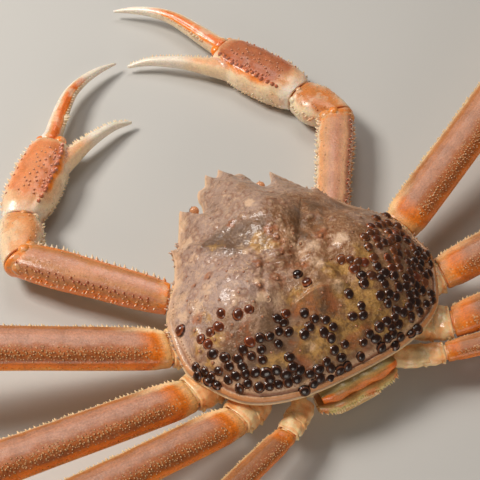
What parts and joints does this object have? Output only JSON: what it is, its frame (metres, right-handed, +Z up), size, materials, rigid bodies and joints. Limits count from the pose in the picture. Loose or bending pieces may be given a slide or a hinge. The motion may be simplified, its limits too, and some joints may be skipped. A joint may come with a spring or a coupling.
{
  "type": "snow crab",
  "caption": "Life-size male snow crab at rest on its belly, long legs spread and both slim claws held open in front of the head.",
  "frame": {"origin": "on the floor, under the flat face of the folded abdomen, below the middle of the shell", "axes": "+X to the crab's right, +Y to its front, +Z up"},
  "size_m": [0.8277, 0.391, 0.0573],
  "materials": {
    "shell": "wet glossy shell, mauve brown with ochre patches",
    "belly": "pale cream underside shell",
    "leg": "satin shell, pinkish brown above and orange below",
    "claw": "satin shell, salmon orange",
    "finger": "smooth shell, cream to white at the tips",
    "mouth": "satin shell, pale orange",
    "eye": "glossy dark eye",
    "feeler": "fine jointed feeler, orange"
  },
  "bodies": {
    "root": {"carapace": "shell", "thorax": "belly", "abdomen_base": "mouth", "abdomen_flap": "belly", "maxilliped_left": "mouth", "eye_left": "eye", "antenna_left": "feeler", "claw_left_coxa": "claw", "claw_left_merus": "claw", "claw_left_carpus": "claw", "claw_left_palm": "claw", "claw_left_dactyl": "finger", "leg1_left_coxa": "leg", "leg1_left_merus": "leg", "leg1_left_carpus": "leg", "leg1_left_propodus": "leg", "leg1_left_dactyl": "leg", "leg2_left_coxa": "leg", "leg2_left_merus": "leg", "leg2_left_carpus": "leg", "leg2_left_propodus": "leg", "leg2_left_dactyl": "leg", "leg3_left_coxa": "leg", "leg3_left_merus": "leg", "leg3_left_carpus": "leg", "leg3_left_propodus": "leg", "leg3_left_dactyl": "leg", "leg4_left_coxa": "leg", "leg4_left_merus": "leg", "leg4_left_carpus": "leg", "leg4_left_propodus": "leg", "leg4_left_dactyl": "leg", "maxilliped_right": "mouth", "eye_right": "eye", "antenna_right": "feeler", "claw_right_coxa": "claw", "claw_right_merus": "claw", "claw_right_carpus": "claw", "claw_right_palm": "claw", "claw_right_dactyl": "finger", "leg1_right_coxa": "leg", "leg1_right_merus": "leg", "leg1_right_carpus": "leg", "leg1_right_propodus": "leg", "leg1_right_dactyl": "leg", "leg2_right_coxa": "leg", "leg2_right_merus": "leg", "leg2_right_carpus": "leg", "leg2_right_propodus": "leg", "leg2_right_dactyl": "leg", "leg3_right_coxa": "leg", "leg3_right_merus": "leg", "leg3_right_carpus": "leg", "leg3_right_propodus": "leg", "leg3_right_dactyl": "leg", "leg4_right_coxa": "leg", "leg4_right_merus": "leg", "leg4_right_carpus": "leg", "leg4_right_propodus": "leg", "leg4_right_dactyl": "leg"}
  },
  "joints": []
}
